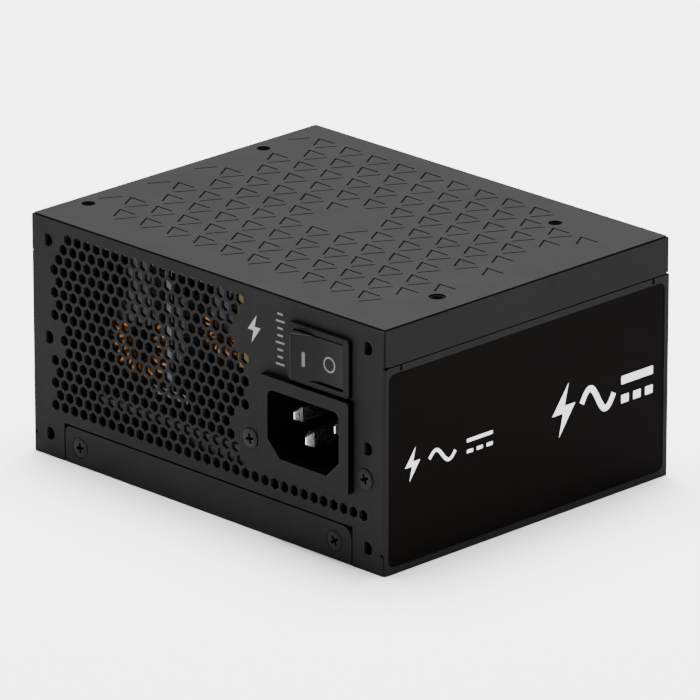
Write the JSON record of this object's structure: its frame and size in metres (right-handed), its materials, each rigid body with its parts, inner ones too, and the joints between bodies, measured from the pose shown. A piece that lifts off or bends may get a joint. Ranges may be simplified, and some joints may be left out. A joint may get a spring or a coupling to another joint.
{
  "type": "computer power supply unit",
  "caption": "Compact box-shaped computer power supply with a honeycomb vent, mains inlet and rocker switch at the rear, fan below and output sockets at the front.",
  "frame": {"origin": "centre of the bounding box's underside, on the plane of the fan cover", "axes": "+X across the rear panel towards the inlet's side, -Y out of the rear panel, +Z away from the fan cover"},
  "size_m": [0.125, 0.105, 0.0635],
  "materials": {
    "case_paint": "fine matte dark grey powder coat on bent steel sheet",
    "label_film": "satin black printed film",
    "screw_black": "black zinc plated steel",
    "inlet_plastic": "moulded black plastic, fine grain",
    "pin_metal": "nickel plated brass",
    "switch_plastic": "moulded black plastic",
    "rocker_plastic": "smooth black plastic with two white marks",
    "fan_plastic": "moulded black glass-filled plastic",
    "steel": "zinc plated steel",
    "brass": "sintered bronze",
    "copper": "enamelled copper",
    "ferrite": "pressed ferrite",
    "guard_wire": "black coated steel wire",
    "cable_sleeve": "black sleeve",
    "circuit_board": "green solder mask on glass laminate",
    "insulation_film": "thin translucent film",
    "winding_tape": "yellow polyester tape",
    "capacitor_sleeve": "shrunk dark film",
    "aluminium": "extruded, natural",
    "component_plastic": "moulded black epoxy",
    "socket_plastic": "moulded black nylon"
  },
  "bodies": {
    "chassis": {"base_shell": "case_paint", "fan_cover": "case_paint", "side_label_right": "label_film", "side_label_left": "label_film", "cover_screw_rear_left": "screw_black", "cover_screw_rear_right": "screw_black", "cover_screw_front_left": "screw_black", "cover_screw_front_right": "screw_black", "inlet_screw_left": "screw_black", "inlet_screw_right": "screw_black", "fan_screw_1": "screw_black", "fan_screw_2": "screw_black", "fan_screw_3": "screw_black", "fan_screw_4": "screw_black", "inlet_housing": "inlet_plastic", "inlet_pin_live": "pin_metal", "inlet_pin_neutral": "pin_metal", "inlet_pin_earth": "pin_metal", "switch_housing": "switch_plastic", "fan_frame": "fan_plastic", "board_screw_1": "steel", "board_screw_2": "steel", "board_screw_3": "steel", "board_screw_4": "steel", "fan_bearing": "brass", "fan_stator": "copper", "pfc_choke_winding": "copper", "line_choke_winding": "copper", "busbar": "copper", "transformer_core": "ferrite", "pfc_choke_core": "ferrite", "line_choke_core": "ferrite", "fan_guard": "guard_wire", "fan_cable": "cable_sleeve", "main_board": "circuit_board", "control_board": "circuit_board", "modular_board": "circuit_board", "insulation_sheet": "insulation_film", "transformer_winding": "winding_tape", "standby_transformer": "winding_tape", "line_capacitor": "winding_tape", "bulk_capacitor": "capacitor_sleeve", "output_capacitor_1": "capacitor_sleeve", "output_capacitor_2": "capacitor_sleeve", "output_capacitor_3": "capacitor_sleeve", "primary_heatsink": "aluminium", "secondary_heatsink": "aluminium", "bridge_heatsink": "aluminium", "bridge_rectifier": "component_plastic", "relay": "component_plastic", "socket_main": "socket_plastic", "socket_cpu_1": "socket_plastic", "socket_cpu_2": "socket_plastic", "socket_gpu": "socket_plastic", "socket_drive_1": "socket_plastic", "socket_drive_2": "socket_plastic"},
    "fan": {"fan_rotor": "fan_plastic", "fan_shaft": "steel", "fan_magnet_ring": "ferrite"},
    "rocker": {"switch_rocker": "rocker_plastic"}
  },
  "joints": [
    {"name": "fan_spin", "type": "hinge", "parent": "chassis", "child": "fan", "pos_m": [0, 0.0014, 0.0115], "axis": [0, 0, 1], "continuous": true},
    {"name": "rocker_tilt", "type": "hinge", "parent": "chassis", "child": "rocker", "pos_m": [0.041, -0.04829, 0.0509], "axis": [0, 0, -1], "range_deg": [0, 22]}
  ]
}
